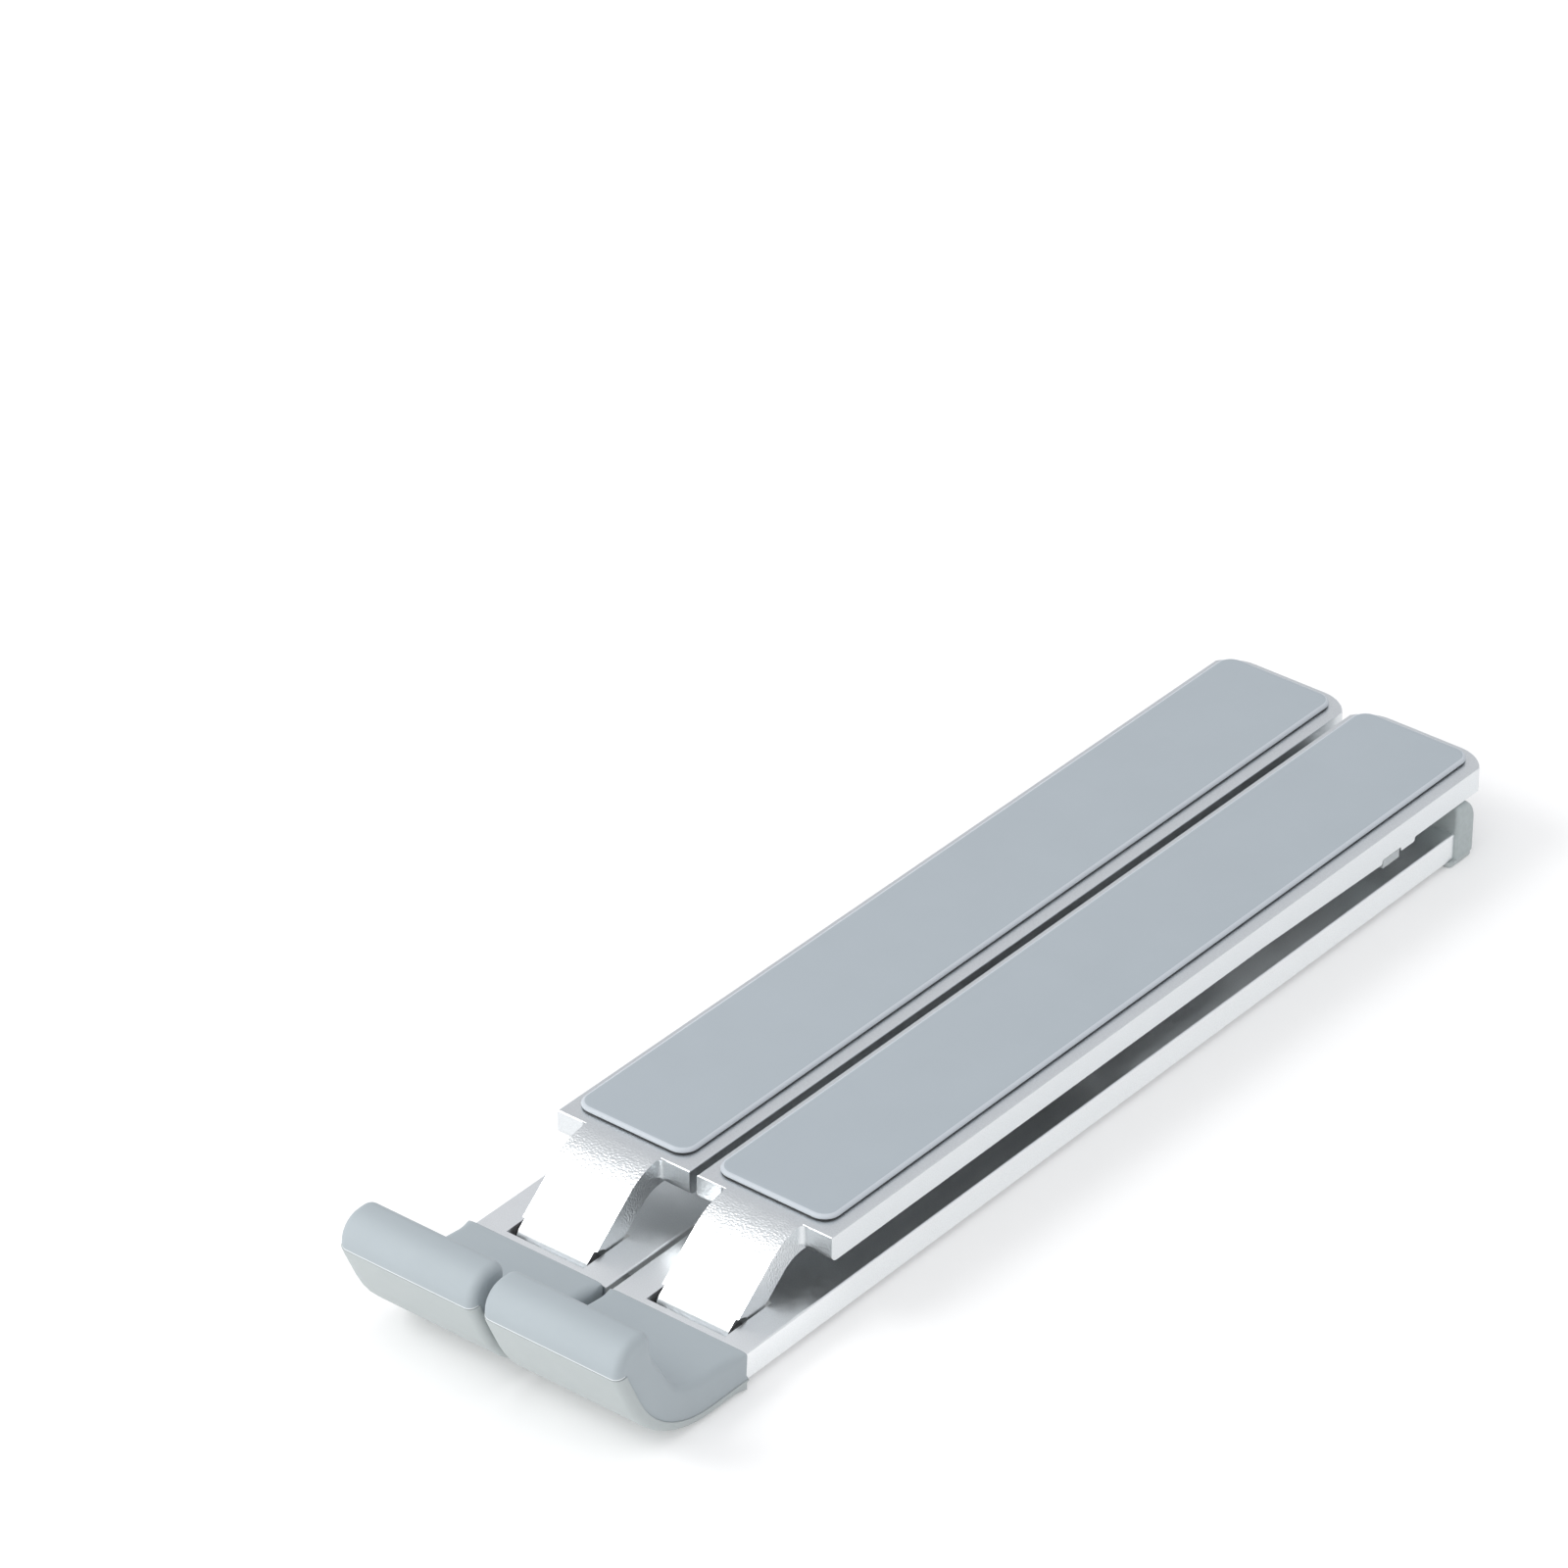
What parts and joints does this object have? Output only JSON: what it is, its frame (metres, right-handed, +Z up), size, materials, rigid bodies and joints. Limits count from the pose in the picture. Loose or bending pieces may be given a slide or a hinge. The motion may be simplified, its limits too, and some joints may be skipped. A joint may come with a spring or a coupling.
{
  "type": "folding laptop stand",
  "caption": "Folding laptop stand, folded flat: slim aluminium arms with silicone pads lie on base bars that end in padded hooks, side by side.",
  "frame": {"origin": "on the table under the middle of the folded stand", "axes": "+Z up from the table, +Y from the hooks towards the rear caps, +X across the two halves towards the right one"},
  "size_m": [0.0602, 0.2477, 0.0258],
  "materials": {
    "arm_metal": "fine sandblasted, clear anodised",
    "bar_metal": "fine sandblasted, clear anodised",
    "strut_metal": "fine sandblasted, clear anodised",
    "link_steel": "brushed flat bar",
    "pin_steel": "ground",
    "rivet_steel": "satin",
    "washer_nylon": "matte",
    "pad_silicone": "matte, very fine grain",
    "hook_silicone": "matte, very fine grain",
    "foot_silicone": "matte",
    "cap_plastic": "matte",
    "strut_foot_plastic": "matte"
  },
  "bodies": {
    "base_left": {"base_bar_left": "bar_metal", "hook_sleeve_left": "hook_silicone", "front_foot_left": "foot_silicone", "rear_cap_left": "cap_plastic", "rear_foot_left": "foot_silicone", "arm_hinge_pin_left": "pin_steel", "hinge_washers_left": "washer_nylon", "scissor_rivet_left": "rivet_steel", "scissor_spacer_left": "washer_nylon"},
    "base_right": {"base_bar_right": "bar_metal", "hook_sleeve_right": "hook_silicone", "front_foot_right": "foot_silicone", "rear_cap_right": "cap_plastic", "rear_foot_right": "foot_silicone", "arm_hinge_pin_right": "pin_steel", "hinge_washers_right": "washer_nylon", "scissor_rivet_right": "rivet_steel", "scissor_spacer_right": "washer_nylon"},
    "link_upper": {"scissor_link_upper": "link_steel", "scissor_centre_rivet": "rivet_steel", "slide_pin_right": "rivet_steel", "slide_shoe_right": "washer_nylon"},
    "link_lower": {"scissor_link_lower": "link_steel", "slide_pin_left": "rivet_steel", "slide_shoe_left": "washer_nylon"},
    "arm_left": {"support_arm_left": "arm_metal", "arm_pad_left": "pad_silicone", "strut_pin_left": "pin_steel", "strut_washers_left": "washer_nylon"},
    "arm_right": {"support_arm_right": "arm_metal", "arm_pad_right": "pad_silicone", "strut_pin_right": "pin_steel", "strut_washers_right": "washer_nylon"},
    "strut_left": {"strut_left": "strut_metal", "strut_foot_left": "strut_foot_plastic", "foot_rivets_left": "rivet_steel"},
    "strut_right": {"strut_right": "strut_metal", "strut_foot_right": "strut_foot_plastic", "foot_rivets_right": "rivet_steel"}
  },
  "joints": [
    {"name": "spread", "type": "hinge", "parent": "base_left", "child": "link_upper", "pos_m": [-0.012, 0.09765, 0.0036], "axis": [0, 0, 1], "range_deg": [0, 51.14]},
    {"name": "links_cross", "type": "hinge", "parent": "link_upper", "child": "link_lower", "pos_m": [0, 0.02058, 0.003], "axis": [0, 0, 1], "range_deg": [-102.28, 0]},
    {"name": "right_half_turn", "type": "hinge", "parent": "link_lower", "child": "base_right", "pos_m": [0.012, 0.09765, 0.0024], "axis": [0, 0, 1], "range_deg": [0, 51.14]},
    {"name": "arm_lift_left", "type": "hinge", "parent": "base_left", "child": "arm_left", "pos_m": [-0.01515, -0.0848, 0.0044], "axis": [1, 0, 0], "range_deg": [0, 26]},
    {"name": "arm_lift_right", "type": "hinge", "parent": "base_right", "child": "arm_right", "pos_m": [0.01515, -0.0848, 0.0044], "axis": [1, 0, 0], "range_deg": [0, 26]},
    {"name": "strut_swing_left", "type": "hinge", "parent": "arm_left", "child": "strut_left", "pos_m": [-0.01515, 0.01765, 0.0136], "axis": [1, 0, 0], "range_deg": [-64.32, 0]},
    {"name": "strut_swing_right", "type": "hinge", "parent": "arm_right", "child": "strut_right", "pos_m": [0.01515, 0.01765, 0.0136], "axis": [1, 0, 0], "range_deg": [-64.32, 0]}
  ],
  "couplings": [
    {"joint": "links_cross", "follows": "spread", "ratio": -2},
    {"joint": "right_half_turn", "follows": "spread", "ratio": 1},
    {"joint": "strut_swing_left", "follows": "arm_lift_left", "ratio": -2.474},
    {"joint": "strut_swing_right", "follows": "arm_lift_right", "ratio": -2.474}
  ]
}
